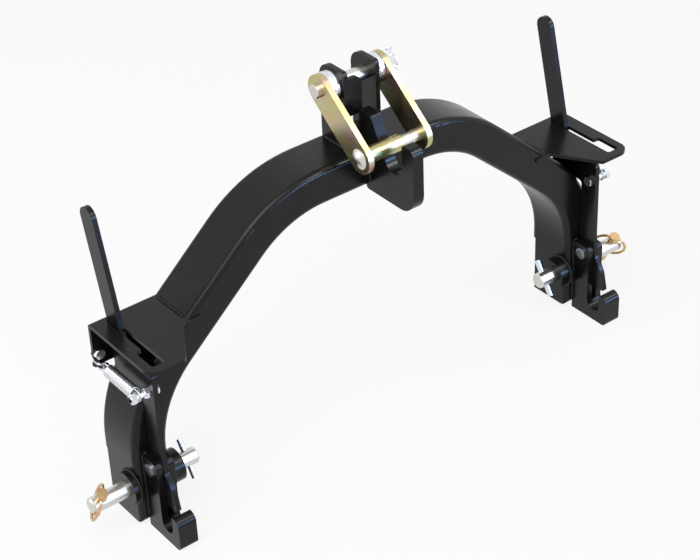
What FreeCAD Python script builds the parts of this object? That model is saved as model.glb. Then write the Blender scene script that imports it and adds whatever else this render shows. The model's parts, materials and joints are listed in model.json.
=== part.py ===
import FreeCAD, Part
import math
import os

# Category 1 three point quick hitch: a bent tube arch with two latching lower hooks,
# a fixed upper hook and a swinging bail that keeps the top link pin in that hook.
# Millimetres. +X to one side, +Y towards the tractor, +Z up.
# The origin is midway between the lower hitch pins, on their common axis.

V = FreeCAD.Vector
XAXIS = V(1, 0, 0)
YAXIS = V(0, 1, 0)
ZAXIS = V(0, 0, 1)

# ---- Driving dimensions: arch tube ----
HOOK_SPREAD = 730.0        # centre plane of one lower hook to the other
TUBE_WIDTH = 50.0          # tube face seen from the side of the tractor
TUBE_DEPTH = 75.0          # tube measured front to rear
TUBE_WALL = 5.0
TUBE_CORNER = 8.0
TUBE_REAR = -13.0          # rear face of the tube
CROWN_HALF = 79.0          # half the straight top of the arch
CROWN_HEIGHT = 317.0       # centre line of the straight top
BEND_RADIUS = 170.0        # centre line radius of all four bends
SHOULDER_ANGLE = 41.5      # slope of the shoulders below horizontal
LEG_BOTTOM = -58.0
LEG_STEP_HEIGHT = 28.0     # below this the front wall of the leg is cut away
LEG_STEP_DEPTH = 8.0
LEG_CORNER = 12.0

# ---- Driving dimensions: lower hooks ----
SEAT_Y = -56.0             # centre of the implement pin in the lower hooks
SEAT_Z = -33.5
THROAT_WIDTH = 24.0
HOOK_TOP = 52.0
HOOK_TOP_CORNER = 8.0
HOOK_UNDER_SEAT = 16.5     # steel below the seat
TIP_WIDTH = 14.0           # steel behind the throat
TIP_ABOVE_SEAT = 18.5
TIP_CORNER = 12.0
HOOK_PLATE = 9.5
FILLER_TOP = -37.0         # top of the spacer that joins the two hook plates

# ---- Driving dimensions: latch levers ----
LEVER_PLATE = 7.0
LEVER_SIDE_GAP = 0.3       # each side of the lever, between the hook plates
LATCH_TRAVEL = 26.0        # degrees from closed to open
PIVOT_Y = -29.0
PIVOT_Z = 38.0
PIVOT_RADIUS = 6.0
PIVOT_CLEARANCE = 0.05
LEVER_REAR = -42.0
LEVER_SHOULDER = 186.0     # top of the wide part, below the guide plate
LEVER_UNDERSIDE = 148.0    # edge that passes over the bend of the tube
LEVER_FRONT = 44.0
HANDLE_WIDTH = 28.0
HANDLE_TOP = 370.0
HANDLE_LEAN = 0.235        # forward for each millimetre up
HANDLE_Y = 36.0            # centre of the handle at the guide plate
TONGUE_CLEARANCE = 2.0     # tongue above the hook tip

# ---- Driving dimensions: guide plates ----
GUIDE_TOP = 217.0
GUIDE_THICKNESS = 5.0
GUIDE_OUTER = 25.0         # beyond the hook plane
GUIDE_REAR = -77.0
GUIDE_FRONT = 61.0         # front face of the down-turned flange
GUIDE_FLANGE_DEPTH = 62.0
GUIDE_REAR_INNER = -26.0   # inner end of the straight rear edge, from the hook plane
GUIDE_SLANT_Y = -15.0      # where the slanted edge meets the inner edge
GUIDE_CORNER = 17.0
SLOT_CLEARANCE = 1.0       # each side of the lever
SLOT_REAR = -65.0
NOTCH_FRONT = -27.0
NOTCH_WIDTH = 9.0          # outwards from the slot

# ---- Driving dimensions: hitch pins ----
PIN_RADIUS = 11.1
PIN_INNER = 295.0
PIN_OUTER = 452.0
PIN_CHAMFER = 2.0
PIN_FIT = 0.05
BOSS_RADIUS = 22.0
BOSS_INNER_LENGTH = 17.0
BOSS_OUTER_LENGTH = 9.0
ROLL_PIN_RADIUS = 4.0
ROLL_PIN_LENGTH = 54.0
ROLL_PIN_INSET = 13.0      # from the inner end of the hitch pin
ROLL_PIN_TILT = 33.0
LINCH_RADIUS = 4.5
LINCH_LENGTH = 44.0
LINCH_INSET = 14.0         # from the outer end of the hitch pin
LINCH_FIT = 0.1
LINCH_TILT = -26.0         # towards the rear
LINCH_TURN = 38.0          # turned about its own axis
LINCH_HEAD_RADIUS = 7.5
LINCH_HEAD_HEIGHT = 11.0
RING_RADIUS = 22.5         # centre line of the ring
RING_WIRE = 2.0
RING_LUG = 2.6             # from the top of the head down to the ring's ends
RING_END_CLEARANCE = 0.1
RING_END_DEPTH = 4.0       # how far each end goes into the head

# ---- Driving dimensions: mast ----
EAR_GAP = 43.0
EAR_PLATE = 6.5
EAR_REAR = 7.0
EAR_FRONT = 57.0
EAR_TOP = 449.0
EAR_FRONT_CORNER = 20.0
EAR_REAR_CORNER = 5.0
EAR_FLANGE_WIDTH = 21.0    # inward flange on the rear edge of one ear
EAR_FLANGE_BOTTOM = 387.0
EAR_FLANGE_TOP = 439.0
EAR_FLANGE_CORNER = 11.0
TOP_PIN_Y = 31.0
TOP_PIN_Z = 425.0
TOP_PIN_RADIUS = 9.5
TOP_PIN_FIT = 0.05
TOP_PIN_LEFT = -57.0
TOP_PIN_RIGHT = 70.0
WASHER_RADIUS = 20.0
WASHER_THICKNESS = 4.6
WASHER_COUNT = 3
NUT_ACROSS = 28.5
NUT_HEIGHT = 14.0
NUT_GAP = 0.3

# ---- Driving dimensions: bail ----
LINK_WIDTH = 40.0
LINK_PLATE = 8.0
LINK_SIDE_GAP = 0.3
BAIL_DOWN_LIP = 10.0       # resting place of the sleeve along the mouth of the upper hook
BAIL_PIN_RADIUS = 8.0
BAIL_HEAD_RADIUS = 13.5
BAIL_HEAD_HEIGHT = 6.0
SLEEVE_RADIUS = 10.5
SLEEVE_LENGTH = 56.0
SLEEVE_FIT = 0.05
SLEEVE_END_GAP = 0.3

# ---- Driving dimensions: upper hook ----
MAST_HEIGHT = 381.0        # lower seats to upper seat
UPPER_PLATE = 16.0
UPPER_SEAT_Y = -61.0
UPPER_THROAT_RADIUS = 17.0
UPPER_TOP = 393.0
UPPER_FORWARD = 5.0        # how far the plate reaches over the tube
UPPER_SHOULDER_Y = -18.0
UPPER_LIP_Y = -33.0
UPPER_LIP_Z = 364.0
UPPER_TIP_WIDTH = 22.0
UPPER_TIP_ABOVE_SEAT = 31.0
UPPER_UNDER_SEAT = 46.0
UPPER_HEEL_RADIUS = 27.0
UPPER_TAB_Y = -5.0         # tab under the tube

# ---- Driving dimensions: springs and small bolts ----
SPRING_X = 18.0            # outwards from the hook plane
SPRING_RADIUS = 8.5
SPRING_WIRE = 2.2          # wall of the coil's envelope
SPRING_HOOK = 1.0          # radius of the wire in the end hooks
SPRING_Z = 156.0
BOLT_RADIUS = 4.0
BOLT_ACROSS = 13.0
BOLT_HEAD = 5.3
BOLT_NUT = 6.5
SPRING_BOLT_Y = -31.0
SPRING_BOLT_REACH = 30.0   # outwards from the hook plane
EYE_BEHIND_FLANGE = 9.0    # centre of the eye that the spring hooks into
EYE_RADIUS = 7.0
EYE_BORE = 3.2
EYE_PLATE = 4.0
UPPER_ANCHOR_RISE = 16.0   # second flange bolt above the spring bolt
PIVOT_HEAD_RADIUS = 8.5
PIVOT_HEAD_HEIGHT = 2.5
CLEAR = 0.3                # general running clearance

# ---- Worked out from the values above ----
HOOK_X = HOOK_SPREAD / 2
TUBE_FRONT = TUBE_REAR + TUBE_DEPTH
TUBE_OUTER = HOOK_X + TUBE_WIDTH / 2
TUBE_INNER = HOOK_X - TUBE_WIDTH / 2
CROWN_TOP = CROWN_HEIGHT + TUBE_WIDTH / 2
CROWN_UNDERSIDE = CROWN_HEIGHT - TUBE_WIDTH / 2
HOOK_GAP = LEVER_PLATE + 2 * LEVER_SIDE_GAP
THROAT_RADIUS = THROAT_WIDTH / 2
THROAT_FRONT = SEAT_Y + THROAT_RADIUS
THROAT_REAR = SEAT_Y - THROAT_RADIUS
TIP_REAR = THROAT_REAR - TIP_WIDTH
TIP_TOP = SEAT_Z + TIP_ABOVE_SEAT
HOOK_BOTTOM = SEAT_Z - THROAT_RADIUS - HOOK_UNDER_SEAT
SLOT_HALF = LEVER_PLATE / 2 + SLOT_CLEARANCE
UPPER_SEAT_Z = SEAT_Z + MAST_HEIGHT
EAR_OUTER = EAR_GAP / 2 + EAR_PLATE
WASHER_STACK = WASHER_COUNT * WASHER_THICKNESS
LINK_INNER = EAR_OUTER + WASHER_STACK + LINK_SIDE_GAP
LINK_OUTER = LINK_INNER + LINK_PLATE
LIP = V(0, UPPER_LIP_Y, UPPER_LIP_Z)
LIP_RUN = (V(0, UPPER_SEAT_Y + UPPER_THROAT_RADIUS, UPPER_SEAT_Z) - LIP).normalize()
BAIL_PIN = LIP + LIP_RUN * BAIL_DOWN_LIP + V(0, LIP_RUN.z, -LIP_RUN.y) * (SLEEVE_RADIUS + CLEAR)
BAIL_PIN_Y = BAIL_PIN.y
BAIL_PIN_Z = BAIL_PIN.z
EYE_Y = GUIDE_FRONT - GUIDE_THICKNESS - EYE_BEHIND_FLANGE
HEAD_BASE = PIN_RADIUS + CLEAR
RING_HINGE = HEAD_BASE + LINCH_HEAD_HEIGHT - RING_LUG - RING_WIRE
SIDES = (("left", -1), ("right", 1))


# ---- Small building blocks ----
def rounded_loop(corners, to_space):
    """Closed wire through (u, v, radius) corners, each rounded by an arc of its radius."""
    edges = []
    starts = []
    ends = []
    count = len(corners)
    for i in range(count):
        u, v, radius = corners[i]
        before = V(corners[i - 1][0] - u, corners[i - 1][1] - v, 0)
        after = V(corners[(i + 1) % count][0] - u, corners[(i + 1) % count][1] - v, 0)
        before.normalize()
        after.normalize()
        half = before.getAngle(after) / 2
        reach = radius / math.tan(half)
        corner = V(u, v, 0)
        starts.append(corner + before * reach)
        ends.append(corner + after * reach)
        if radius > 0:
            bisector = (before + after).normalize()
            middle = corner + bisector * (radius / math.sin(half) - radius)
            edges.append(Part.Arc(to_space(starts[i]), to_space(middle), to_space(ends[i])).toShape())
        if i > 0 and starts[i].distanceToPoint(ends[i - 1]) > 1e-6:
            edges.append(Part.makeLine(to_space(ends[i - 1]), to_space(starts[i])))
    if starts[0].distanceToPoint(ends[-1]) > 1e-6:
        edges.append(Part.makeLine(to_space(ends[-1]), to_space(starts[0])))
    return Part.Wire(Part.__sortEdges__(edges))


def side_plate(corners, x_from, x_to):
    """Plate with a (y, z, radius) outline, between two planes across X."""
    wire = rounded_loop(corners, lambda p: V(x_from, p.x, p.y))
    return Part.Face(wire).extrude(V(x_to - x_from, 0, 0))


def flat_plate(corners, z_from, z_to):
    """Plate with an (x, y, radius) outline, between two levels."""
    wire = rounded_loop(corners, lambda p: V(p.x, p.y, z_from))
    return Part.Face(wire).extrude(V(0, 0, z_to - z_from))


def front_plate(corners, y_from, y_to):
    """Plate with an (x, z, radius) outline, between two planes across Y."""
    wire = rounded_loop(corners, lambda p: V(p.x, y_from, p.y))
    return Part.Face(wire).extrude(V(0, y_to - y_from, 0))


def box(x0, x1, y0, y1, z0, z1):
    return Part.makeBox(x1 - x0, y1 - y0, z1 - z0, V(x0, y0, z0))


def rod_x(radius, x_from, x_to, y=0.0, z=0.0):
    low, high = sorted((x_from, x_to))
    return Part.makeCylinder(radius, high - low, V(low, y, z), XAXIS)


def hexagon(across, start, direction, height):
    """Hexagonal prism with chamfered corners, as on a nut or a bolt head."""
    corner = across / math.sqrt(3)
    points = [V(corner * math.cos(math.radians(60 * i)), corner * math.sin(math.radians(60 * i)), 0)
              for i in range(7)]
    prism = Part.Face(Part.makePolygon(points)).extrude(V(0, 0, height))
    bevel = corner - across / 2
    barrel = Part.makeCylinder(corner, height)
    rims = [edge for edge in barrel.Edges if edge.BoundBox.ZLength < 1e-6]
    nut = prism.common(barrel.makeChamfer(bevel * 0.9, rims))
    nut.Placement = FreeCAD.Placement(start, FreeCAD.Rotation(ZAXIS, direction))
    return nut


def mirrored(shape):
    return shape.mirror(V(0, 0, 0), XAXIS)


def place(shape, side):
    """Shapes are drawn for the right side; the left side is its mirror image."""
    return shape if side > 0 else mirrored(shape)


# ---- Arch tube ----
def tube_section(inset, corner):
    """Rounded rectangle across the foot of the right leg."""
    x0 = TUBE_INNER + inset
    x1 = TUBE_OUTER - inset
    y0 = TUBE_REAR + inset
    y1 = TUBE_FRONT - inset
    corners = [(x0, y0, corner), (x1, y0, corner), (x1, y1, corner), (x0, y1, corner)]
    return Part.Face(rounded_loop(corners, lambda p: V(p.x, p.y, LEG_BOTTOM)))


def swept_arch(inset, corner):
    """The tube's section carried up the leg, round the two bends and along the crown."""
    slope = math.radians(SHOULDER_ANGLE)
    crown_centre = V(CROWN_HALF, 0, CROWN_HEIGHT - BEND_RADIUS)
    leg_centre_x = HOOK_X - BEND_RADIUS
    shoulder = (leg_centre_x - CROWN_HALF) / math.cos(slope)
    leg_centre = V(leg_centre_x, 0, crown_centre.z - shoulder * math.sin(slope))
    uphill = V(-math.cos(slope), 0, math.sin(slope))
    section = tube_section(inset, corner)
    pieces = []
    for kind, where, amount in (("straight", ZAXIS, leg_centre.z - LEG_BOTTOM),
                                ("bend", leg_centre, 90 - SHOULDER_ANGLE),
                                ("straight", uphill, shoulder),
                                ("bend", crown_centre, SHOULDER_ANGLE),
                                ("straight", V(-1, 0, 0), CROWN_HALF)):
        if kind == "straight":
            run = V(where) * amount
            pieces.append(section.extrude(run))
            section.translate(run)
        else:
            pieces.append(section.revolve(where, YAXIS, -amount))
            section.rotate(where, YAXIS, -amount)
    half = pieces[0].fuse(pieces[1:])
    return half.fuse(mirrored(half)).removeSplitter()


def arch_outside():
    return swept_arch(0, TUBE_CORNER)


def foot_cuts():
    """What is cut from the right leg: the lower front wall, the rear corner and the pin bore."""
    step = box(TUBE_INNER - 1, TUBE_OUTER + 1, TUBE_FRONT - LEG_STEP_DEPTH, TUBE_FRONT + 1,
               LEG_BOTTOM - 1, LEG_STEP_HEIGHT)
    corner = side_plate([(TUBE_REAR - 1, LEG_BOTTOM - 1, 0), (TUBE_REAR + LEG_CORNER, LEG_BOTTOM - 1, 0),
                         (TUBE_REAR + LEG_CORNER, LEG_BOTTOM + LEG_CORNER, 0),
                         (TUBE_REAR - 1, LEG_BOTTOM + LEG_CORNER, 0)], TUBE_INNER - 1, TUBE_OUTER + 1)
    corner = corner.cut(rod_x(LEG_CORNER, TUBE_INNER - 2, TUBE_OUTER + 2,
                              TUBE_REAR + LEG_CORNER, LEG_BOTTOM + LEG_CORNER))
    bore = rod_x(PIN_RADIUS + PIN_FIT, TUBE_INNER - 1, TUBE_OUTER + 1)
    return [step, corner, bore]


def arch_tube(outside):
    tube = outside.cut(swept_arch(TUBE_WALL, TUBE_CORNER - TUBE_WALL))
    for cutter in foot_cuts():
        tube = tube.cut(cutter).cut(mirrored(cutter))
    return tube


# ---- Lower hooks ----
def hook_outline():
    rear = THROAT_FRONT
    return [(TUBE_REAR, HOOK_TOP, 0), (rear, HOOK_TOP, HOOK_TOP_CORNER),
            (rear, SEAT_Z - THROAT_RADIUS, THROAT_RADIUS - 0.01),
            (THROAT_REAR, SEAT_Z - THROAT_RADIUS, THROAT_RADIUS - 0.01),
            (THROAT_REAR, TIP_TOP, 2.0), (TIP_REAR, TIP_TOP, TIP_CORNER - 1),
            (TIP_REAR, HOOK_BOTTOM, 7.0), (TUBE_REAR, HOOK_BOTTOM, 0)]


def hook_plate(x_from):
    plate = side_plate(hook_outline(), x_from, x_from + HOOK_PLATE)
    bore = rod_x(PIVOT_RADIUS + PIVOT_CLEARANCE, x_from - 1, x_from + HOOK_PLATE + 1, PIVOT_Y, PIVOT_Z)
    return plate.cut(bore)


def hook_filler():
    """Spacer between the hook plates: the tip and the sole, clear of the tongue."""
    x0 = HOOK_X - HOOK_GAP / 2
    x1 = HOOK_X + HOOK_GAP / 2
    whole = side_plate(hook_outline(), x0, x1)
    sole = box(x0, x1, TIP_REAR - 1, TUBE_REAR + 1, HOOK_BOTTOM - 1, FILLER_TOP)
    tip = box(x0, x1, TIP_REAR - 1, SEAT_Y, HOOK_BOTTOM - 1, TIP_TOP + 1)
    return whole.common(sole.fuse(tip))


def pivot_bolt():
    outer = HOOK_GAP / 2 + HOOK_PLATE
    shank = rod_x(PIVOT_RADIUS, HOOK_X - outer - PIVOT_HEAD_HEIGHT, HOOK_X + outer + PIVOT_HEAD_HEIGHT,
                  PIVOT_Y, PIVOT_Z)
    for start in (HOOK_X - outer - PIVOT_HEAD_HEIGHT, HOOK_X + outer):
        shank = shank.fuse(rod_x(PIVOT_HEAD_RADIUS, start, start + PIVOT_HEAD_HEIGHT, PIVOT_Y, PIVOT_Z))
    return shank.removeSplitter()


# ---- Latch levers ----
def handle_y(z):
    return HANDLE_Y + (z - GUIDE_TOP) * HANDLE_LEAN


def latch_lever():
    """One plate: tongue across the throat, body behind the leg, arm over the bend and handle."""
    half = HANDLE_WIDTH / 2
    tongue_z = TIP_TOP + TONGUE_CLEARANCE
    pivot_front = TUBE_REAR - 1.5
    outline = [
        (THROAT_REAR + 2, tongue_z, 1.5),
        (-59.0, 18.0, 40.0),
        (-46.0, 36.0, 12.0),
        (LEVER_REAR, 70.0, 60.0),
        (LEVER_REAR, LEVER_SHOULDER, 8.0),
        (handle_y(LEVER_SHOULDER) - half, LEVER_SHOULDER, 7.0),
        (handle_y(HANDLE_TOP) - half, HANDLE_TOP, half - 0.5),
        (handle_y(HANDLE_TOP) + half, HANDLE_TOP, half - 0.5),
        (handle_y(GUIDE_TOP) + half, GUIDE_TOP, 0.0),
        (LEVER_FRONT, LEVER_UNDERSIDE, 7.0),
        (pivot_front, LEVER_UNDERSIDE, 5.0),
        (pivot_front, PIVOT_Z, 6.0),
        (THROAT_FRONT + 3.5, tongue_z - 3, 3.0),
    ]
    plate = side_plate(outline, HOOK_X - LEVER_PLATE / 2, HOOK_X + LEVER_PLATE / 2)
    pivot = rod_x(PIVOT_RADIUS + PIVOT_CLEARANCE, HOOK_X - LEVER_PLATE, HOOK_X + LEVER_PLATE, PIVOT_Y, PIVOT_Z)
    bolt = rod_x(BOLT_RADIUS + PIVOT_CLEARANCE, HOOK_X - LEVER_PLATE, HOOK_X + LEVER_PLATE,
                 SPRING_BOLT_Y, SPRING_Z)
    return plate.cut(pivot).cut(bolt)


def spring_bolt():
    """Bolt through the lever with its head inside, a nut against the plate and one at the end."""
    inner = HOOK_X - LEVER_PLATE / 2
    outer = HOOK_X + LEVER_PLATE / 2
    end = HOOK_X + SPRING_BOLT_REACH
    bolt = rod_x(BOLT_RADIUS, inner - 1, end, SPRING_BOLT_Y, SPRING_Z)
    bolt = bolt.fuse(hexagon(BOLT_ACROSS, V(inner - BOLT_HEAD, SPRING_BOLT_Y, SPRING_Z), XAXIS, BOLT_HEAD))
    for start in (outer, end - BOLT_NUT - 1):
        bolt = bolt.fuse(hexagon(BOLT_ACROSS, V(start, SPRING_BOLT_Y, SPRING_Z), XAXIS, BOLT_NUT))
    return bolt


def latch_spring():
    """Envelope of the closed coil, with a hook at each end: round the lever's bolt and in the eye."""
    loop = SPRING_RADIUS - SPRING_WIRE / 2
    rear_bend = SPRING_BOLT_Y - BOLT_RADIUS - SPRING_HOOK - PIVOT_CLEARANCE + loop
    front_bend = EYE_Y + EYE_BORE - SPRING_HOOK - PIVOT_CLEARANCE - loop
    rear = SPRING_BOLT_Y + BOLT_ACROSS / math.sqrt(3) + CLEAR
    front = front_bend - (rear - rear_bend)
    coil = Part.makeCylinder(SPRING_RADIUS, front - rear, V(0, rear, 0), YAXIS)
    coil = coil.cut(Part.makeCylinder(SPRING_RADIUS - SPRING_WIRE, front - rear, V(0, rear, 0), YAXIS))
    straight = rear - rear_bend
    for y, turn in ((rear, 180), (front, 0)):
        shank = Part.makeCylinder(SPRING_HOOK, straight + 1, V(0, -1, loop), YAXIS)
        bend = Part.makeTorus(loop, SPRING_HOOK, V(0, 0, 0), ZAXIS, 0, 360, 230)
        bend.rotate(V(0, 0, 0), YAXIS, 90)
        bend.rotate(V(0, 0, 0), XAXIS, -140)
        bend.translate(V(0, straight, 0))
        hook = shank.fuse(bend)
        hook.rotate(V(0, 0, 0), XAXIS, turn)
        hook.translate(V(0, y, 0))
        coil = coil.fuse(hook)
    coil.translate(V(HOOK_X + SPRING_X, 0, SPRING_Z))
    return coil


# ---- Guide plates ----
def guide_plate(outside):
    """Slotted plate welded across the shoulder, with a flange turned down at the front."""
    outer = HOOK_X + GUIDE_OUTER
    inner = HOOK_X - 90
    rear_inner = HOOK_X + GUIDE_REAR_INNER
    low = GUIDE_TOP - GUIDE_THICKNESS
    slant_x = HOOK_X - 65
    top = flat_plate([(inner, GUIDE_FRONT, 0), (outer, GUIDE_FRONT, 0), (outer, GUIDE_REAR, GUIDE_CORNER),
                      (rear_inner, GUIDE_REAR, 6.0), (slant_x, GUIDE_SLANT_Y, 3.0),
                      (inner, GUIDE_SLANT_Y, 0)], low, GUIDE_TOP)
    bottom = GUIDE_TOP - GUIDE_FLANGE_DEPTH
    flange = front_plate([(inner, low, 0), (inner, bottom, 10.0), (outer, bottom, 12.0), (outer, low, 0)],
                         GUIDE_FRONT - GUIDE_THICKNESS, GUIDE_FRONT)
    slot_front = handle_y(GUIDE_TOP) + HANDLE_WIDTH / 2 + SLOT_CLEARANCE
    slot = flat_plate([(HOOK_X - SLOT_HALF, SLOT_REAR, 3.0), (HOOK_X + SLOT_HALF + NOTCH_WIDTH, SLOT_REAR, 3.0),
                       (HOOK_X + SLOT_HALF + NOTCH_WIDTH, NOTCH_FRONT, 3.0),
                       (HOOK_X + SLOT_HALF, NOTCH_FRONT, 2.0), (HOOK_X + SLOT_HALF, slot_front, 1.0),
                       (HOOK_X - SLOT_HALF, slot_front, 1.0)], low - 1, GUIDE_TOP + 1)
    plate = top.fuse(flange).removeSplitter()
    plate = plate.makeFillet(GUIDE_THICKNESS * 0.9, [edge for edge in plate.Edges
                             if abs(edge.BoundBox.ZMin - GUIDE_TOP) < 1e-6
                             and abs(edge.BoundBox.ZMax - GUIDE_TOP) < 1e-6
                             and abs(edge.BoundBox.YMin - GUIDE_FRONT) < 1e-6
                             and abs(edge.BoundBox.YMax - GUIDE_FRONT) < 1e-6])
    plate = plate.cut(slot).cut(outside)
    for rise in (0, UPPER_ANCHOR_RISE):
        plate = plate.cut(Part.makeCylinder(BOLT_RADIUS, 3 * GUIDE_THICKNESS,
                                            V(HOOK_X + SPRING_X, GUIDE_FRONT - 2 * GUIDE_THICKNESS,
                                              SPRING_Z + rise), YAXIS))
    return max(plate.Solids, key=lambda solid: solid.BoundBox.XMax)


def anchor_bolt(rise, start):
    """Bolt through the flange from start to the nut in front."""
    x = HOOK_X + SPRING_X
    z = SPRING_Z + rise
    bolt = Part.makeCylinder(BOLT_RADIUS, GUIDE_FRONT + BOLT_NUT + 2 - start, V(x, start, z), YAXIS)
    return bolt.fuse(hexagon(BOLT_ACROSS, V(x, GUIDE_FRONT, z), YAXIS, BOLT_NUT))


def eye_bolt():
    """Anchor bolt that ends in a flat eye for the spring."""
    eye = Part.makeCylinder(EYE_RADIUS, EYE_PLATE, V(HOOK_X + SPRING_X, EYE_Y, SPRING_Z - EYE_PLATE / 2), ZAXIS)
    bolt = anchor_bolt(0, EYE_Y + EYE_BORE).fuse(eye)
    bore = Part.makeCylinder(EYE_BORE, 4 * BOLT_RADIUS, V(HOOK_X + SPRING_X, EYE_Y, SPRING_Z - 2 * BOLT_RADIUS), ZAXIS)
    return bolt.cut(bore)


def flange_bolt():
    """Plain bolt above the eye bolt, with its head behind the flange."""
    rear = GUIDE_FRONT - GUIDE_THICKNESS - BOLT_HEAD
    head = hexagon(BOLT_ACROSS, V(HOOK_X + SPRING_X, rear, SPRING_Z + UPPER_ANCHOR_RISE), YAXIS, BOLT_HEAD)
    return anchor_bolt(UPPER_ANCHOR_RISE, rear + 1).fuse(head)


# ---- Hitch pins ----
def hitch_pin():
    pin = rod_x(PIN_RADIUS, PIN_INNER, PIN_OUTER)
    pin = pin.makeChamfer(PIN_CHAMFER, [edge for edge in pin.Edges if edge.BoundBox.XLength < 1e-6])
    roll = tilted_rod(ROLL_PIN_RADIUS, 80, 40, PIN_INNER + ROLL_PIN_INSET, ROLL_PIN_TILT)
    linch = tilted_rod(LINCH_RADIUS + LINCH_FIT, 80, 40, PIN_OUTER - LINCH_INSET, LINCH_TILT)
    return pin.cut(roll).cut(linch)


def tilted_rod(radius, length, below, x, tilt):
    """Rod across the hitch pin, leaning by tilt degrees from upright towards the front."""
    rod = Part.makeCylinder(radius, length, V(0, 0, -below), ZAXIS)
    rod.rotate(V(0, 0, 0), XAXIS, -tilt)
    rod.translate(V(x, 0, 0))
    return rod


def roll_pin():
    return tilted_rod(ROLL_PIN_RADIUS, ROLL_PIN_LENGTH, ROLL_PIN_LENGTH / 2, PIN_INNER + ROLL_PIN_INSET,
                      ROLL_PIN_TILT)


def boss(x_from, length):
    ring = rod_x(BOSS_RADIUS, x_from, x_from + length).cut(
        rod_x(PIN_RADIUS + PIN_FIT, x_from - 1, x_from + length + 1))
    return ring


def seat_linchpin(shape):
    """Turns a shape drawn about the Z axis and leans it into the hole near the pin's outer end."""
    shape.rotate(V(0, 0, 0), ZAXIS, LINCH_TURN)
    shape.rotate(V(0, 0, 0), XAXIS, -LINCH_TILT)
    shape.translate(V(PIN_OUTER - LINCH_INSET, 0, 0))
    return shape


def linchpin():
    """Pin with a broad head, cross-bored for the ends of its ring."""
    foot = HEAD_BASE - LINCH_LENGTH
    shank = Part.makeCylinder(LINCH_RADIUS, LINCH_LENGTH, V(0, 0, foot), ZAXIS)
    point = Part.makeCone(LINCH_RADIUS / 2, LINCH_RADIUS, LINCH_RADIUS, V(0, 0, foot - LINCH_RADIUS), ZAXIS)
    head = Part.makeCylinder(LINCH_HEAD_RADIUS, LINCH_HEAD_HEIGHT, V(0, 0, HEAD_BASE), ZAXIS)
    pin = shank.fuse([point, head]).removeSplitter()
    bore = Part.makeCylinder(RING_WIRE + RING_END_CLEARANCE, 4 * LINCH_HEAD_RADIUS,
                             V(0, -2 * LINCH_HEAD_RADIUS, RING_HINGE), YAXIS)
    return seat_linchpin(pin.cut(bore))


def linchpin_ring():
    """Ring with its ends in the head, lying outside the shank and round the end of the hitch pin."""
    side = LINCH_HEAD_RADIUS + RING_WIRE + CLEAR
    drop = math.sqrt(RING_RADIUS ** 2 - side ** 2)
    opening = math.degrees(math.asin(side / RING_RADIUS))
    ring = Part.makeTorus(RING_RADIUS, RING_WIRE, V(0, 0, 0), ZAXIS, 0, 360, 360 - 2 * opening)
    ring.rotate(V(0, 0, 0), ZAXIS, opening)
    ring.rotate(V(0, 0, 0), YAXIS, -90)
    ring.translate(V(0, 0, RING_HINGE - drop))
    for sign in (-1, 1):
        elbow = V(0, sign * side, RING_HINGE)
        end = Part.makeCylinder(RING_WIRE, side - LINCH_HEAD_RADIUS + RING_END_DEPTH, elbow, V(0, -sign, 0))
        ring = ring.fuse([end, Part.makeSphere(RING_WIRE, elbow)])
    lean = math.degrees(math.asin((LINCH_RADIUS + RING_WIRE + CLEAR) / (drop + RING_RADIUS)))
    ring.rotate(V(0, 0, RING_HINGE), YAXIS, -lean)
    return seat_linchpin(ring)


# ---- Mast ----
def mast_ear(side):
    """Upright plate on the crown; the left one has an inward flange on its rear edge."""
    inner = EAR_GAP / 2
    ear = side_plate([(EAR_REAR, CROWN_TOP, 0), (EAR_FRONT, CROWN_TOP, 0), (EAR_FRONT, EAR_TOP, EAR_FRONT_CORNER),
                      (EAR_REAR, EAR_TOP, EAR_REAR_CORNER)], inner, EAR_OUTER)
    if side < 0:
        edge = inner - EAR_FLANGE_WIDTH
        flange = front_plate([(EAR_OUTER, EAR_FLANGE_BOTTOM, 0), (EAR_OUTER, EAR_FLANGE_TOP, 0),
                              (edge, EAR_FLANGE_TOP, EAR_FLANGE_CORNER), (edge, EAR_FLANGE_BOTTOM, 2)],
                             EAR_REAR, EAR_REAR + EAR_PLATE)
        ear = ear.fuse(flange).removeSplitter()
    ear = ear.cut(rod_x(TOP_PIN_RADIUS + TOP_PIN_FIT, inner - EAR_FLANGE_WIDTH - 1, EAR_OUTER + 1,
                        TOP_PIN_Y, TOP_PIN_Z))
    return place(ear, side)


def upper_hook(outside):
    half = UPPER_PLATE / 2
    r = UPPER_THROAT_RADIUS
    bottom = UPPER_SEAT_Z - UPPER_UNDER_SEAT - r
    tip_rear = UPPER_SEAT_Y - r - UPPER_TIP_WIDTH
    tip_top = UPPER_SEAT_Z + UPPER_TIP_ABOVE_SEAT
    outline = [(UPPER_FORWARD, CROWN_UNDERSIDE, 0), (UPPER_FORWARD, UPPER_TOP, 0),
               (UPPER_SHOULDER_Y, UPPER_TOP, 3.0), (UPPER_LIP_Y, UPPER_LIP_Z, 20.0),
               (UPPER_SEAT_Y + r, UPPER_SEAT_Z, 8.0),
               (UPPER_SEAT_Y + r, UPPER_SEAT_Z - r, r - 0.5), (UPPER_SEAT_Y - r, UPPER_SEAT_Z - r, r - 0.5),
               (UPPER_SEAT_Y - r, tip_top, 4.0), (tip_rear, tip_top, 10.0),
               (tip_rear, bottom, UPPER_HEEL_RADIUS), (UPPER_TAB_Y, bottom, 5.0),
               (UPPER_TAB_Y, CROWN_UNDERSIDE, 0)]
    return side_plate(outline, -half, half).cut(outside)


def top_pin():
    pin = rod_x(TOP_PIN_RADIUS, TOP_PIN_LEFT, TOP_PIN_RIGHT, TOP_PIN_Y, TOP_PIN_Z)
    return pin.makeChamfer(1.2, [edge for edge in pin.Edges if edge.BoundBox.XLength < 1e-6])


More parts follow.
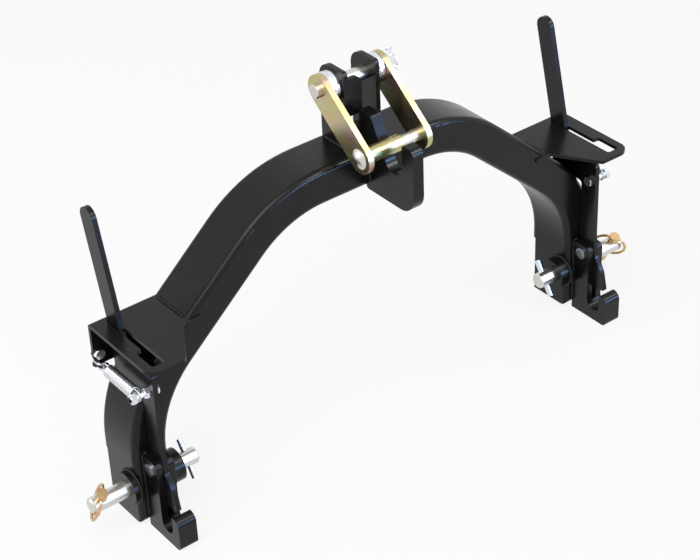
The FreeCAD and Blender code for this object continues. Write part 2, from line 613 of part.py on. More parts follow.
def castle_nut():
    """Slotted nut on the right end of the top pin."""
    start = LINK_OUTER + NUT_GAP
    nut = hexagon(NUT_ACROSS, V(start, TOP_PIN_Y, TOP_PIN_Z), XAXIS, NUT_HEIGHT)
    nut = nut.cut(rod_x(TOP_PIN_RADIUS, start - 1, start + NUT_HEIGHT + 1, TOP_PIN_Y, TOP_PIN_Z))
    for turn in (0, 60, 120):
        groove = box(start + NUT_HEIGHT * 0.62, start + NUT_HEIGHT + 1, -NUT_ACROSS, NUT_ACROSS, -2, 2)
        groove.rotate(V(0, 0, 0), XAXIS, turn)
        groove.translate(V(0, TOP_PIN_Y, TOP_PIN_Z))
        nut = nut.cut(groove)
    return nut


def ear_washer(index):
    start = EAR_OUTER + index * WASHER_THICKNESS
    disc = rod_x(WASHER_RADIUS, start, start + WASHER_THICKNESS, TOP_PIN_Y, TOP_PIN_Z)
    disc = disc.makeChamfer(0.7, [edge for edge in disc.Edges if edge.BoundBox.XLength < 1e-6])
    return disc.cut(rod_x(TOP_PIN_RADIUS + TOP_PIN_FIT, start - 1, start + WASHER_THICKNESS + 1,
                          TOP_PIN_Y, TOP_PIN_Z))


# ---- Bail ----
def bail_link():
    """Flat link with round ends, from the top pin down to the bail pin."""
    along = V(0, BAIL_PIN_Y - TOP_PIN_Y, BAIL_PIN_Z - TOP_PIN_Z)
    across = V(0, -along.z, along.y).normalize() * (LINK_WIDTH / 2)
    top = V(LINK_INNER, TOP_PIN_Y, TOP_PIN_Z)
    low = top + along
    outward = V(along).normalize() * (LINK_WIDTH / 2)
    wire = Part.Wire([Part.makeLine(top + across, low + across),
                      Part.Arc(low + across, low + outward, low - across).toShape(),
                      Part.makeLine(low - across, top - across),
                      Part.Arc(top - across, top - outward, top + across).toShape()])
    link = Part.Face(wire).extrude(V(LINK_PLATE, 0, 0))
    link = link.cut(rod_x(TOP_PIN_RADIUS + TOP_PIN_FIT, LINK_INNER - 1, LINK_OUTER + 1, TOP_PIN_Y, TOP_PIN_Z))
    return link.cut(rod_x(BAIL_PIN_RADIUS, LINK_INNER - 1, LINK_OUTER + 1, BAIL_PIN_Y, BAIL_PIN_Z))


def bail_pin():
    """Riveted cross pin with a domed head on each link."""
    pin = rod_x(BAIL_PIN_RADIUS, -LINK_OUTER, LINK_OUTER, BAIL_PIN_Y, BAIL_PIN_Z)
    dome_radius = (BAIL_HEAD_RADIUS ** 2 + BAIL_HEAD_HEIGHT ** 2) / (2 * BAIL_HEAD_HEIGHT)
    for side in (-1, 1):
        centre = side * (LINK_OUTER + BAIL_HEAD_HEIGHT - dome_radius)
        dome = Part.makeSphere(dome_radius, V(centre, BAIL_PIN_Y, BAIL_PIN_Z))
        face = side * LINK_OUTER
        pin = pin.fuse(dome.common(rod_x(BAIL_HEAD_RADIUS + 1, face, face + side * BAIL_HEAD_HEIGHT,
                                         BAIL_PIN_Y, BAIL_PIN_Z)))
    return pin.removeSplitter()


def bail_sleeve():
    start = -LINK_INNER + SLEEVE_END_GAP
    sleeve = rod_x(SLEEVE_RADIUS, start, start + SLEEVE_LENGTH, BAIL_PIN_Y, BAIL_PIN_Z)
    sleeve = sleeve.makeChamfer(1.5, [edge for edge in sleeve.Edges if edge.BoundBox.XLength < 1e-6])
    return sleeve.cut(rod_x(BAIL_PIN_RADIUS + SLEEVE_FIT, start - 1, start + SLEEVE_LENGTH + 1,
                            BAIL_PIN_Y, BAIL_PIN_Z))


# ---- Everything by name ----
def build():
    outside = arch_outside()
    nodes = {"arch_tube": arch_tube(outside), "upper_hook": upper_hook(outside)}
    plate_starts = {"outer": HOOK_X + HOOK_GAP / 2, "inner": HOOK_X - HOOK_GAP / 2 - HOOK_PLATE}
    for name, side in SIDES:
        for where, start in plate_starts.items():
            nodes[name + "_hook_plate_" + where] = place(hook_plate(start), side)
        nodes[name + "_hook_filler"] = place(hook_filler(), side)
        nodes[name + "_pivot_bolt"] = place(pivot_bolt(), side)
        nodes[name + "_latch_lever"] = place(latch_lever(), side)
        nodes[name + "_spring_bolt"] = place(spring_bolt(), side)
        nodes[name + "_latch_spring"] = place(latch_spring(), side)
        nodes[name + "_guide_plate"] = place(guide_plate(outside), side)
        nodes[name + "_eye_bolt"] = place(eye_bolt(), side)
        nodes[name + "_flange_bolt"] = place(flange_bolt(), side)
        nodes[name + "_hitch_pin"] = place(hitch_pin(), side)
        nodes[name + "_roll_pin"] = place(roll_pin(), side)
        nodes[name + "_boss_outer"] = place(boss(TUBE_OUTER, BOSS_OUTER_LENGTH), side)
        nodes[name + "_boss_inner"] = place(boss(TUBE_INNER - BOSS_INNER_LENGTH, BOSS_INNER_LENGTH), side)
        nodes[name + "_linchpin"] = place(linchpin(), side)
        nodes[name + "_linchpin_ring"] = place(linchpin_ring(), side)
        nodes[name + "_mast_ear"] = mast_ear(side)
        nodes[name + "_bail_link"] = place(bail_link(), side)
        for index in range(WASHER_COUNT):
            nodes["%s_washer_%d" % (name, index + 1)] = place(ear_washer(index), side)
    nodes["top_pin"] = top_pin()
    nodes["castle_nut"] = castle_nut()
    nodes["bail_pin"] = bail_pin()
    nodes["bail_sleeve"] = bail_sleeve()
    return nodes


os.makedirs("parts", exist_ok=True)
for name, shape in build().items():
    solid = shape.Solids[0] if len(shape.Solids) == 1 else shape
    print("%-26s solids %d valid %s volume %.0f" % (name, len(shape.Solids), shape.isValid(), shape.Volume))
    solid.exportStep("parts/" + name + ".step")
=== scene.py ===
# %% [markdown]
# # A three point quick hitch, dressed for its picture
# The steel frame of a tractor hitch is a bent tube with hooks, levers and pins, and all of those
# shapes come from the CAD model as they are. This lesson gives each of them its finish, and adds
# what is too fine for the solids: weld beads, spring coils, screw threads, small washers and a
# split pin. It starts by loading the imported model, in metres, with +Z up and +Y to the tractor.

# %% Load the solids
import json
import math
import random

import bmesh
import bpy
from mathutils import Matrix, Vector


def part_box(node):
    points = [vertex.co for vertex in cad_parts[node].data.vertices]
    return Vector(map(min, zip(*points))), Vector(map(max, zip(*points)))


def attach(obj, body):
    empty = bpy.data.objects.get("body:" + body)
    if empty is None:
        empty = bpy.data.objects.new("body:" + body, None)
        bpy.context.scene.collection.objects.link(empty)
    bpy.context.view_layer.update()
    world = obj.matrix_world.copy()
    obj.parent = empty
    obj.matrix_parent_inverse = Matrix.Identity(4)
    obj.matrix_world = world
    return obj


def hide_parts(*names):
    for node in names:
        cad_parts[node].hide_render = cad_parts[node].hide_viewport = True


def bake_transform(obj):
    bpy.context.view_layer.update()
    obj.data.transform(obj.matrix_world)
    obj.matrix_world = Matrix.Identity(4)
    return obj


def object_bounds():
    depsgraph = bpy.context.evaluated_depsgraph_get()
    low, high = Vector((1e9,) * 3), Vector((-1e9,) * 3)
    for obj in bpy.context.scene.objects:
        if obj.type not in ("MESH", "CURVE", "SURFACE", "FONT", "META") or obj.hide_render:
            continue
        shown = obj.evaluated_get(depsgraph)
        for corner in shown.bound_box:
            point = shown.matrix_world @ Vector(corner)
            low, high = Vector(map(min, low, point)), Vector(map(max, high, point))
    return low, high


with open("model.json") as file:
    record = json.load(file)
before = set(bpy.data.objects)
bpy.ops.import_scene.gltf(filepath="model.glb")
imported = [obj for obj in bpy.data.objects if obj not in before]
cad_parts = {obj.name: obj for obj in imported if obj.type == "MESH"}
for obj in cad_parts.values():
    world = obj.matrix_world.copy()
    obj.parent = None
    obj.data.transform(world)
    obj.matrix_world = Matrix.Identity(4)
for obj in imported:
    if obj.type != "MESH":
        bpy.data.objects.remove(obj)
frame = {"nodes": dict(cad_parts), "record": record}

cad_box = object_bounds()
print("size of the solids:", [round(high - low, 3) for low, high in zip(*cad_box)])

# %% [markdown]
# ## Shader sums written as Python
# Most finishes here are a base colour and a roughness that drift a little over the surface. Such
# a drift is a sum of noises, and sums are easier to read as Python than as a web of Math nodes.
# So one small class wraps a socket and lets it be added, subtracted and multiplied; a second one
# holds a material and makes every other node through a single method.

# %% A socket that can be used in sums
def feed(slot, value):
    """Links a wire into a slot, or writes a plain value there."""
    if isinstance(value, Wire):
        slot.id_data.links.new(value.socket, slot)
    else:
        slot.default_value = value


class Wire:
    """An output socket that Python can add, subtract and multiply."""

    def __init__(self, socket):
        self.socket = socket

    def math(self, operation, first, second):
        node = self.socket.id_data.nodes.new("ShaderNodeMath")
        node.operation = operation
        feed(node.inputs[0], first)
        feed(node.inputs[1], second)
        return Wire(node.outputs[0])

    def __add__(self, other):
        return self.math("ADD", self, other)

    def __sub__(self, other):
        return self.math("SUBTRACT", self, other)

    def __rsub__(self, other):
        return self.math("SUBTRACT", other, self)

    def __mul__(self, other):
        return self.math("MULTIPLY", self, other)

    __radd__ = __add__
    __rmul__ = __mul__


class Finish:
    """A material with one Principled shader, whose constants are set on its own sockets."""

    def __init__(self, name, **constants):
        self.material = bpy.data.materials.new(name)
        self.material.use_nodes = True
        self.tree = self.material.node_tree
        self.shader = self.tree.nodes["Principled BSDF"]
        for socket, value in constants.items():
            label = socket.replace("_", " ").title().replace("Ior", "IOR")
            self.shader.inputs[label].default_value = value
        self.place = self.node("ShaderNodeTexCoord", output="Object")

    def node(self, kind, settings=(), inputs=(), output=0):
        """Makes a node, sets its settings, feeds its sockets and returns one output."""
        made = self.tree.nodes.new(kind)
        for setting, value in dict(settings).items():
            if setting == "stops":
                while len(made.color_ramp.elements) < len(value):
                    made.color_ramp.elements.new(1.0)
                for element, (position, colour) in zip(made.color_ramp.elements, value):
                    element.position = position
                    element.color = (*colour, 1.0)
            else:
                setattr(made, setting, value)
        for socket, value in dict(inputs).items():
            feed(made.inputs[socket], value)
        return Wire(made.outputs[output])

    def noise(self, scale, detail=2.0, stretch=(1, 1, 1)):
        """Noise with a cell of 1 / scale metres, stretched along an axis where a factor is small."""
        where = self.node("ShaderNodeMapping", inputs={"Vector": self.place, "Scale": stretch})
        return self.node("ShaderNodeTexNoise", inputs={"Vector": where, "Scale": scale, "Detail": detail})

    def blend(self, amount, first, second):
        """Colour that goes from first to second as the amount goes from 0 to 1."""
        return self.node("ShaderNodeMix", {"data_type": "RGBA"},
                         {"Factor": amount, 6: first, 7: second}, output=2)

    def bump(self, height, depth, strength):
        normal = self.node("ShaderNodeBump",
                           inputs={"Height": height, "Distance": depth, "Strength": strength})
        feed(self.shader.inputs["Normal"], normal)

    def colour(self, value):
        feed(self.shader.inputs["Base Color"], value)

    def roughness(self, value):
        feed(self.shader.inputs["Roughness"], value)


# %% [markdown]
# ## Powder coat
# The frame is coated in glossy black powder. Up close such a coat is never flat: it has a fine
# orange peel from melting, and its gloss changes from place to place. The colour is close to
# black with a faint warm drift, and the reflections do the rest of the work.

# %% Black powder coat
def powder_coat():
    coat = Finish("black_powder_coat", specular_ior_level=0.22)
    cloud = coat.noise(38.0, 3.0)
    peel = coat.noise(1150.0, 2.0)
    wave = coat.noise(210.0, 2.0)
    coat.colour(coat.blend(cloud, (0.0035, 0.0037, 0.0040, 1.0), (0.0085, 0.0080, 0.0075, 1.0)))
    coat.roughness(0.17 + 0.12 * cloud + 0.05 * peel)
    coat.bump(0.6 * peel + wave, 0.00010, 0.35)
    return coat.material


FINISHES = {"black_powder_coat": powder_coat()}
print("powder coat made")

# %% [markdown]
# ## Yellow zinc
# The bail's links and sleeve are zinc plated and passivated yellow. The layer is thin enough to
# split light, so olive gold drifts into pink and green in soft clouds. Two noises pick between
# three tints, and a fine grain stretched along the bar stands in for the rolled surface.

# %% Yellow zinc
def yellow_zinc(name, gold, pink, green, haze):
    """Zinc in three tints, with clouds of 1 / haze metres."""
    zinc = Finish(name, metallic=1.0)
    cloud = zinc.noise(haze, 3.0)
    drift = zinc.noise(haze * 2.3, 2.0, (1.0, 0.6, 1.4))
    grain = zinc.noise(900.0, 3.0, (1.0, 0.12, 0.12))
    black, white = (0, 0, 0), (1, 1, 1)
    to_pink = zinc.node("ShaderNodeValToRGB", {"stops": [(0.50, black), (0.72, white)]}, {"Fac": cloud})
    to_green = zinc.node("ShaderNodeValToRGB", {"stops": [(0.52, black), (0.78, white)]}, {"Fac": drift})
    tint = zinc.blend(to_pink, (*gold, 1.0), (*pink, 1.0))
    tint = zinc.blend(to_green, tint, (*green, 1.0))
    zinc.colour(tint)
    zinc.roughness(0.20 + 0.16 * drift + 0.08 * grain)
    zinc.bump(grain + 0.5 * drift, 0.00006, 0.4)
    return zinc.material


FINISHES["yellow_zinc"] = yellow_zinc("yellow_zinc", gold=(0.50, 0.43, 0.20), pink=(0.62, 0.40, 0.36),
                                      green=(0.42, 0.52, 0.30), haze=30.0)
FINISHES["ring_wire"] = yellow_zinc("ring_wire", gold=(0.62, 0.42, 0.20), pink=(0.70, 0.34, 0.27),
                                    green=(0.55, 0.50, 0.30), haze=90.0)
print("yellow zinc and ring wire made")

# %% [markdown]
# ## Bright zinc and bar steel
# Washers, nuts, bolts and springs are clear zinc: nearly white metal with a bluish cast and a
# faint spangle. The hitch pins and the top pin are plated round bar, warmer, with turning marks
# that run round them, so their grain is squeezed along X.

# %% Bright zinc, bar steel and spring wire
def clear_zinc(name, pale, dark, polish, stretch=(1, 1, 1)):
    zinc = Finish(name, metallic=1.0)
    spangle = zinc.noise(240.0, 3.0, stretch)
    stain = zinc.noise(55.0, 2.0)
    turning = zinc.noise(1400.0, 1.0, stretch)
    zinc.colour(zinc.blend(0.6 * spangle + 0.4 * stain, (*dark, 1.0), (*pale, 1.0)))
    zinc.roughness(polish + 0.14 * spangle)
    zinc.bump(turning + 0.5 * spangle, 0.00005, 0.4)
    return zinc.material


FINISHES["bright_zinc"] = clear_zinc("bright_zinc", pale=(0.86, 0.88, 0.92), dark=(0.60, 0.63, 0.68),
                                     polish=0.16)
FINISHES["pin_steel"] = clear_zinc("pin_steel", pale=(0.78, 0.76, 0.71), dark=(0.50, 0.49, 0.46),
                                   polish=0.22, stretch=(1.0, 0.1, 0.1))
FINISHES["spring_wire"] = clear_zinc("spring_wire", pale=(0.82, 0.83, 0.85), dark=(0.52, 0.53, 0.55),
                                     polish=0.18)
print("finishes:", sorted(FINISHES))

# %% [markdown]
# ## Dressing the solids
# The record says which finish each piece of the frame takes. The solids keep their meshes, and
# only the material in each slot is changed.

# %% Give every solid its finish
for part in frame["record"]["subparts"]:
    solid = frame["nodes"][part["node"]]
    for slot in solid.material_slots:
        slot.material = FINISHES[part["material_slot"]]

# %% [markdown]
# ## Round wire and rod along a path
# Coils, weld beads and split pins are all one thing: a round section carried along a line. A
# curve object could do it, but a mesh keeps its rings where they are put and lets the radius
# change from ring to ring, which a weld bead needs. Each ring is turned from the last one by the
# smallest rotation, so that the tube doesn't twist.

# %% Sweep a circle along a path
def new_piece(name, mesh_data, finish, body):
    piece = bpy.data.objects.new(name, mesh_data)
    bpy.context.collection.objects.link(piece)
    mesh_data.materials.append(FINISHES[finish])
    if body:
        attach(piece, body)
    return piece


def swept_mesh(name, path, radii, sides, closed=False):
    """Mesh of round rings along the path, with one radius for each point."""
    shape = bmesh.new()
    count = len(path)
    rings = []
    across = None
    for index, point in enumerate(path):
        ahead = path[(index + 1) % count] if closed or index < count - 1 else point
        behind = path[index - 1] if closed or index > 0 else point
        run = (ahead - behind).normalized()
        if across is None:
            across = run.orthogonal().normalized()
        across = (across - run * across.dot(run)).normalized()
        other = run.cross(across)
        turns = [2 * math.pi * side / sides for side in range(sides)]
        arms = [across * math.cos(turn) + other * math.sin(turn) for turn in turns]
        rings.append([shape.verts.new(point + radii[index] * arm) for arm in arms])
    for index in range(count if closed else count - 1):
        ring, following = rings[index], rings[(index + 1) % count]
        for side in range(sides):
            after = (side + 1) % sides
            shape.faces.new((ring[side], ring[after], following[after], following[side]))
    if not closed:
        shape.faces.new(list(reversed(rings[0])))
        shape.faces.new(rings[-1])
    shape.normal_update()
    data = bpy.data.meshes.new(name)
    shape.to_mesh(data)
    shape.free()
    data.shade_smooth()
    return data


print("sweep ready")

# %% [markdown]
# ## Weld beads
# The hooks, bosses, ears and guide plates are welded to the tube. A hand laid bead is a row of
# overlapping puddles, so its radius rises and falls every couple of millimetres, and its line
# wanders a little. The bead is sunk by half into the corner that it fills. The paint covers it,
# so it takes the powder coat and shows only as a lumpy glint.

# %% Lay a bead
MM = 0.001
BEAD = 2.6 * MM
PUDDLE = 2.4 * MM
STEPS_PER_PUDDLE = 4
BEAD_SIDES = 8
WANDER = 0.06 * MM
dice = random.Random(7)


def resampled(points, step):
    """The same polyline with points about one step apart."""
    line = [Vector(points[0])]
    for start, end in zip(points, points[1:]):
        start, end = Vector(start), Vector(end)
        pieces = max(1, round((end - start).length / step))
        line += [start.lerp(end, (k + 1) / pieces) for k in range(pieces)]
    return line


def weld_bead(name, points, closed=False):
    """Lumpy bead along the points, on the frame."""
    path = resampled(points, PUDDLE / STEPS_PER_PUDDLE)
    if closed:
        path = path[:-1]
    radii = []
    for index, point in enumerate(path):
        wave = abs(math.sin(math.pi * index / STEPS_PER_PUDDLE))
        end = min(index, len(path) - 1 - index)
        taper = 1.0 if closed else min(1.0, 0.45 + 0.14 * end)
        radii.append(BEAD * taper * (0.80 + 0.20 * wave) * dice.uniform(0.95, 1.05))
        path[index] = point + Vector([dice.uniform(-1, 1) for axis in "xyz"]) * WANDER
    return new_piece(name, swept_mesh(name, path, radii, BEAD_SIDES, closed), "black_powder_coat", "frame")


def circle(centre, radius, normal, count=48):
    """Points round a centre; the last one meets the first."""
    axis = Vector(normal).normalized()
    side = axis.orthogonal().normalized()
    turns = [2 * math.pi * k / count for k in range(count + 1)]
    return [Vector(centre) + radius * (side * math.cos(turn) + axis.cross(side) * math.sin(turn))
            for turn in turns]


tube_low, tube_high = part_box("arch_tube")
tube_rear = tube_low.y
crown_top = tube_high.z
TUBE_CORNER = 8 * MM       # round edges of the tube, where no bead can lie
print("bead ready; rear face of the tube at", round(tube_rear, 4))

# %% Weld the lower hooks and the bosses
FOOT_ROUND = 16 * MM       # the leg's rear corner is cut round, so the bead starts above it
for name, side in (("left", -1), ("right", 1)):
    for where, edge in (("inner", 0), ("outer", 1)):
        low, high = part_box(f"{name}_hook_plate_{where}")
        face = high.x if side * (1 if edge else -1) > 0 else low.x
        weld_bead(f"{name}_hook_weld_{where}", [(face, tube_rear, low.z + FOOT_ROUND),
                                                (face, tube_rear, high.z - MM)])
        weld_bead(f"{name}_hook_top_weld_{where}", [(low.x + MM, tube_rear, high.z),
                                                    (high.x - MM, tube_rear, high.z)])
    for where in ("inner", "outer"):
        low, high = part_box(f"{name}_boss_{where}")
        seat = high.x if (side > 0) == (where == "inner") else low.x
        centre = (seat, 0, 0)
        radius = (high.z - low.z) / 2
        weld_bead(f"{name}_boss_weld_{where}", circle(centre, radius, (1, 0, 0)), closed=True)
print("hooks and bosses welded")

# %% Weld the mast
EAR_PLATE = 6.5 * MM
for name, side in (("left", -1), ("right", 1)):
    low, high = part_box(f"{name}_mast_ear")
    outer = side * max(abs(low.x), abs(high.x))
    flat = (low.y + MM, tube_high.y - TUBE_CORNER - MM)
    weld_bead(f"{name}_ear_weld_outer", [(outer, flat[0], crown_top), (outer, flat[1], crown_top)])
    inner = outer - side * EAR_PLATE
    weld_bead(f"{name}_ear_weld_inner", [(inner, flat[0], crown_top), (inner, flat[1], crown_top)])
    weld_bead(f"{name}_ear_weld_rear", [(inner, low.y, crown_top), (outer, low.y, crown_top)])

REAR_SEAM_END = 44 * MM    # below the crown's top, just above the tube's lower edge
hook_low, hook_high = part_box("upper_hook")
for face in (hook_low.x, hook_high.x):
    name = "upper_hook_weld_" + ("left" if face < 0 else "right")
    weld_bead(name + "_top", [(face, tube_rear + TUBE_CORNER, crown_top), (face, hook_high.y, crown_top)])
    weld_bead(name + "_rear", [(face, tube_rear, crown_top - TUBE_CORNER),
                               (face, tube_rear, crown_top - REAR_SEAM_END)])
print("mast and upper hook welded")

# %% Weld the guide plates
SEAM_X = 294.1 * MM        # where the plate's top meets the sloping face of the tube
for name, side in (("left", -1), ("right", 1)):
    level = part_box(f"{name}_guide_plate")[1].z
    weld_bead(f"{name}_guide_weld_top", [(side * SEAM_X, tube_rear + TUBE_CORNER, level),
                                         (side * SEAM_X, tube_high.y - TUBE_CORNER - MM, level)])
print("guide plates welded")

# %% [markdown]
# ## Springs
# A closed coil tension spring pulls each latch shut. One wire makes the front hook, the coil and
# the rear hook. The CAD holds only its envelope, so the wire replaces that.

# %% Wind the springs
SPRING_WIRE = 1.1 * MM     # radius of the wire
HOOK_REACH = 13.9 * MM     # from the end of the coil to the tip of its hook
TURN_STEPS = 20
WIRE_SIDES = 8


def spring_path(low, high):
    """Wire from the front hook through the coil to the rear hook, and the Y of both coil ends."""
    x = (low.x + high.x) / 2
    z = (low.z + high.z) / 2
    coil = (high.x - low.x) / 2 - SPRING_WIRE
    front, rear = high.y - HOOK_REACH, low.y + HOOK_REACH
    straight = HOOK_REACH - coil - SPRING_WIRE
    turns = round((front - rear) / (2.06 * SPRING_WIRE))

    def hook(y, direction):
        bend = y + direction * straight
        angles = [math.radians(90 - 10 * k) for k in range(24)]
        return [Vector((x, y, z + coil))] + [
            Vector((x, bend + direction * coil * math.cos(a), z + coil * math.sin(a))) for a in angles]

    wound = []
    for step in range(turns * TURN_STEPS + 1):
        angle = 2 * math.pi * step / TURN_STEPS
        y = front + (rear - front) * step / (turns * TURN_STEPS)
        wound.append(Vector((x + coil * math.sin(angle), y, z + coil * math.cos(angle))))
    return list(reversed(hook(front, 1)))[:-1] + wound + hook(rear, -1)[1:], front, rear


for name in ("left", "right"):
    low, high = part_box(f"{name}_latch_spring")
    path, front, rear = spring_path(low, high)
    wire_mesh = swept_mesh(f"{name}_spring_coil", path, [SPRING_WIRE] * len(path), WIRE_SIDES)
    coil = new_piece(f"{name}_spring_coil", wire_mesh, "spring_wire", None)
    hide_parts(f"{name}_latch_spring")
    x, z = (low.x + high.x) / 2, (low.z + high.z) / 2
    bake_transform(coil)
    print(name, "spring:", len(path), "points of wire")

# %% [markdown]
# ## Screw threads
# A bolt's thread is a ridge that climbs once round per pitch. On a grid wrapped round the bolt,
# the radius follows a sawtooth of the height less the angle, and that alone draws the helix.

# %% Cut the threads
ROWS_PER_PITCH = 6
BOLT_RADIUS, BOLT_PITCH = 4.0 * MM, 1.25 * MM
PIN_RADIUS, PIN_PITCH = 9.5 * MM, 1.5 * MM
PIN_CHAMFER = 1.4 * MM


def thread(name, start, end, radius, pitch, finish, body):
    """Threaded sleeve from start to end, a little proud of the rod that it covers."""
    start, end = Vector(start), Vector(end)
    axis = (end - start).normalized()
    side = axis.orthogonal().normalized()
    other = axis.cross(side)
    length = (end - start).length
    rows = max(4, round(length / pitch * ROWS_PER_PITCH))
    around = 28
    depth = 0.35 * pitch
    shape = bmesh.new()
    grid = []
    for row in range(rows + 1):
        height = length * row / rows
        ring = []
        for column in range(around):
            angle = 2 * math.pi * column / around
            phase = (height / pitch - column / around) % 1.0
            ridge = 1.0 - abs(2.0 * phase - 1.0)
            taper = min(1.0, 3.0 * min(row, rows - row) / rows + 0.2)
            reach = radius + depth * (ridge - 0.35) * taper
            arm = side * math.cos(angle) + other * math.sin(angle)
            ring.append(shape.verts.new(start + axis * height + reach * arm))
        grid.append(ring)
    for low_ring, high_ring in zip(grid, grid[1:]):
        for column in range(around):
            after = (column + 1) % around
            shape.faces.new((low_ring[column], low_ring[after], high_ring[after], high_ring[column]))
    shape.faces.new(list(reversed(grid[0])))
    shape.faces.new(grid[-1])
    data = bpy.data.meshes.new(name)
    shape.to_mesh(data)
    shape.free()
    data.shade_smooth()
    return new_piece(name, data, finish, body)


for name, side in (("left", -1), ("right", 1)):
    low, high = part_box(f"{name}_spring_bolt")
    y, z = (low.y + high.y) / 2, (low.z + high.z) / 2
    tip = side * max(abs(low.x), abs(high.x))
    thread(f"{name}_spring_bolt_thread", (tip - side * 20 * MM, y, z), (tip, y, z), BOLT_RADIUS, BOLT_PITCH,
           "bright_zinc", f"{name}_latch")
    for bolt in ("eye_bolt", "flange_bolt"):
        low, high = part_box(f"{name}_{bolt}")
        x, z = (low.x + high.x) / 2, (low.z + high.z) / 2
        thread(f"{name}_{bolt}_thread", (x, high.y - 3 * MM, z), (x, high.y, z), BOLT_RADIUS, BOLT_PITCH,
               "bright_zinc", "frame")
pin_low, pin_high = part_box("top_pin")
pin_y, pin_z = (pin_low.y + pin_high.y) / 2, (pin_low.z + pin_high.z) / 2
nut_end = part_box("castle_nut")[1].x
thread("top_pin_thread", (nut_end - MM, pin_y, pin_z), (pin_high.x - PIN_CHAMFER, pin_y, pin_z),
       PIN_RADIUS, PIN_PITCH, "pin_steel", "frame")
print("threads cut")

# %% [markdown]
# ## Split pin and small washers
# A split pin through the castellated nut keeps it from turning. It is one wire folded back on
# itself: an eye at the top, two legs down through the pin, and the ends bent apart. Thin washers
# sit under the nuts on the flanges.

# %% Bend the split pin
SPLIT_PIN_WIRE = 1.3 * MM
EYE_RADIUS = 3.4 * MM
pin_x = nut_end - 2.6 * MM
crest = pin_z + 17.5 * MM
foot = pin_z - 13.0 * MM
eye = [Vector((pin_x + EYE_RADIUS * math.sin(a), pin_y, crest + EYE_RADIUS * math.cos(a)))
       for a in [math.radians(-150 + 15 * k) for k in range(21)]]
# Each leg as steps out from the middle and heights: down through the pin, then bent away.
leg_line = ((0.9 * MM, crest - 5.0 * MM), (0.9 * MM, foot), (2.2 * MM, foot - 2.0 * MM),
            (5.5 * MM, foot - 3.4 * MM))
legs = [[Vector((pin_x + way * out, pin_y, height)) for out, height in leg_line] for way in (-1, 1)]
path = list(reversed(resampled(legs[0], MM))) + eye + resampled(legs[1], MM)
split_pin = swept_mesh("split_pin", path, [SPLIT_PIN_WIRE] * len(path), WIRE_SIDES)
new_piece("split_pin", split_pin, "bright_zinc", "frame")


def washer(name, centre, axis, outer, inner, thickness, finish, body):
    """Flat ring with softened rims, turned from a rounded section."""
    axis = Vector(axis).normalized()
    side = axis.orthogonal().normalized()
    other = axis.cross(side)
    rim = thickness * 0.25
    section = [(inner, rim), (inner + rim, 0), (outer - rim, 0), (outer, rim), (outer, thickness - rim),
               (outer - rim, thickness), (inner + rim, thickness), (inner, thickness - rim)]
    shape = bmesh.new()
    rings = []
    for step in range(40):
        angle = 2 * math.pi * step / 40
        arm = side * math.cos(angle) + other * math.sin(angle)
        points = [Vector(centre) + arm * reach + axis * height for reach, height in section]
        rings.append([shape.verts.new(point) for point in points])
    for ring, following in zip(rings, rings[1:] + rings[:1]):
        for k in range(len(section)):
            after = (k + 1) % len(section)
            shape.faces.new((ring[k], following[k], following[after], ring[after]))
    bmesh.ops.recalc_face_normals(shape, faces=shape.faces)
    data = bpy.data.meshes.new(name)
    shape.to_mesh(data)
    shape.free()
    return new_piece(name, data, finish, body)


for name in ("left", "right"):
    flange_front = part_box(f"{name}_guide_plate")[1].y
    for bolt in ("eye_bolt", "flange_bolt"):
        low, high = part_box(f"{name}_{bolt}")
        centre = ((low.x + high.x) / 2, flange_front - 0.3 * MM, (low.z + high.z) / 2)
        washer(f"{name}_{bolt}_washer", centre, (0, 1, 0), outer=8.3 * MM, inner=4.1 * MM,
               thickness=1.6 * MM, finish="bright_zinc", body="frame")
print("split pin and washers placed")

# %% [markdown]
# ## Floor and light
# The hitch is shown on white. The floor is white to the eye and to polished metal, and otherwise
# a pale matt sheet that keeps a soft shadow. One large soft lamp lights the frame from above,
# and one from the side. Two panels that only reflections see, one white and one pale blue,
# stand behind the camera's right shoulder and draw the bright lines on the rounded edges.

# %% Floor
FLOOR_GAP = 0.0005
floor_level = cad_box[0].z - FLOOR_GAP
floor_data = bpy.data.meshes.new("floor")
half = 30.0
corners = [(-half, -half), (half, -half), (half, half), (-half, half)]
floor_data.from_pydata([(x, y, floor_level) for x, y in corners], [], [(0, 1, 2, 3)])
floor = bpy.data.objects.new("floor", floor_data)
bpy.context.collection.objects.link(floor)


def seen_as_background(tree):
    """1 for rays from the camera, from gloss or through glass, and 0 for light that falls on things."""
    outputs = tree.nodes.new("ShaderNodeLightPath").outputs
    seen = Wire(outputs["Is Camera Ray"]) + Wire(outputs["Is Glossy Ray"])
    return seen + Wire(outputs["Is Transmission Ray"])


sheet = Finish("pale_floor", roughness=0.9, specular_ior_level=0.1)
grain = sheet.noise(14.0, 2.0)
sheet.colour(sheet.blend(grain, (0.84, 0.84, 0.845, 1.0), (0.88, 0.88, 0.88, 1.0)))
glow = sheet.node("ShaderNodeEmission", inputs={"Color": (1, 1, 1, 1), "Strength": 1.0})
FLOOR_WHITENESS = 0.86
veil = sheet.node("ShaderNodeMixShader", inputs={0: seen_as_background(sheet.tree) * FLOOR_WHITENESS,
                                                 1: Wire(sheet.shader.outputs[0]), 2: glow})
feed(sheet.tree.nodes["Material Output"].inputs["Surface"], veil)
floor_data.materials.append(sheet.material)

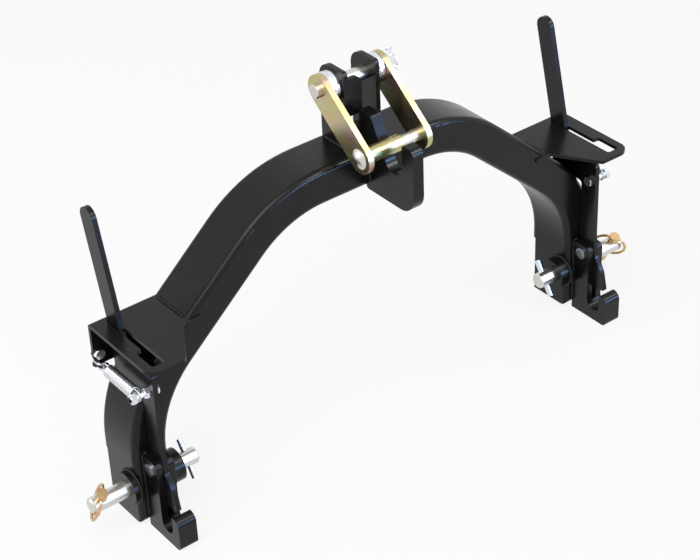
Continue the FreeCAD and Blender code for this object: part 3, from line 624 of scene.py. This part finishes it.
# %% World and lamps
world = bpy.data.worlds.new("studio")
bpy.context.scene.world = world
world.use_nodes = True
sky = world.node_tree
feed(sky.nodes["Background"].inputs["Color"], (1.0, 1.0, 1.0, 1.0))
feed(sky.nodes["Background"].inputs["Strength"], 0.45 + 0.55 * seen_as_background(sky))


def lamp(name, toward, distance, size, power, colour=(1, 1, 1), only_gloss=False):
    """Square soft lamp that stands in a direction from the middle of the hitch and faces it."""
    middle = (cad_box[0] + cad_box[1]) / 2
    data = bpy.data.lights.new(name, "AREA")
    data.shape = "RECTANGLE"
    data.size, data.size_y = size
    data.energy = power
    data.color = colour
    thing = bpy.data.objects.new(name, data)
    direction = Vector(toward).normalized()
    thing.location = middle + direction * distance
    thing.rotation_euler = direction.to_track_quat("Z", "Y").to_euler()
    thing.visible_camera = False
    thing.visible_diffuse = not only_gloss
    bpy.context.collection.objects.link(thing)


lamp("key", (-0.5, -0.35, 1.0), 3.0, (2.2, 2.2), 60)
lamp("side", (-1.0, 0.5, 0.35), 3.0, (1.6, 1.6), 18)
lamp("edge_white", (0.49, -0.54, 0.66), 3.2, (1.5, 0.9), 55, only_gloss=True)
lamp("edge_blue", (0.49, -0.85, 0.14), 3.2, (1.6, 0.8), 90, (0.28, 0.50, 1.0), only_gloss=True)
print("floor, world and lamps placed")

# %% [markdown]
# ## Camera
# The view is from behind, to the left and above, through a long lens that keeps the levers
# nearly parallel. The place is in metres from the hitch pins' axis, and the three turns are the
# heading, the tilt up from straight down, and the roll.

# %% Camera
CAMERA_PLACE = (-1.2700, -1.6657, 1.5761)
HEADING, TILT, ROLL = -36.51, 55.52, -2.59
LENS = 99.63
view_data = bpy.data.cameras.new("view")
view_data.lens = LENS
view_data.sensor_width = 36.0
view = bpy.data.objects.new("view", view_data)
turn = (Matrix.Rotation(math.radians(HEADING), 4, "Z") @ Matrix.Rotation(math.radians(TILT), 4, "X")
        @ Matrix.Rotation(math.radians(ROLL), 4, "Z"))
view.matrix_world = Matrix.Translation(CAMERA_PLACE) @ turn
bpy.context.collection.objects.link(view)
bpy.context.scene.camera = view
bpy.context.scene.view_settings.view_transform = "Standard"
print("camera at", CAMERA_PLACE)

# %% Print the box of the solids
print("solids:", [tuple(round(v, 4) for v in corner) for corner in cad_box])
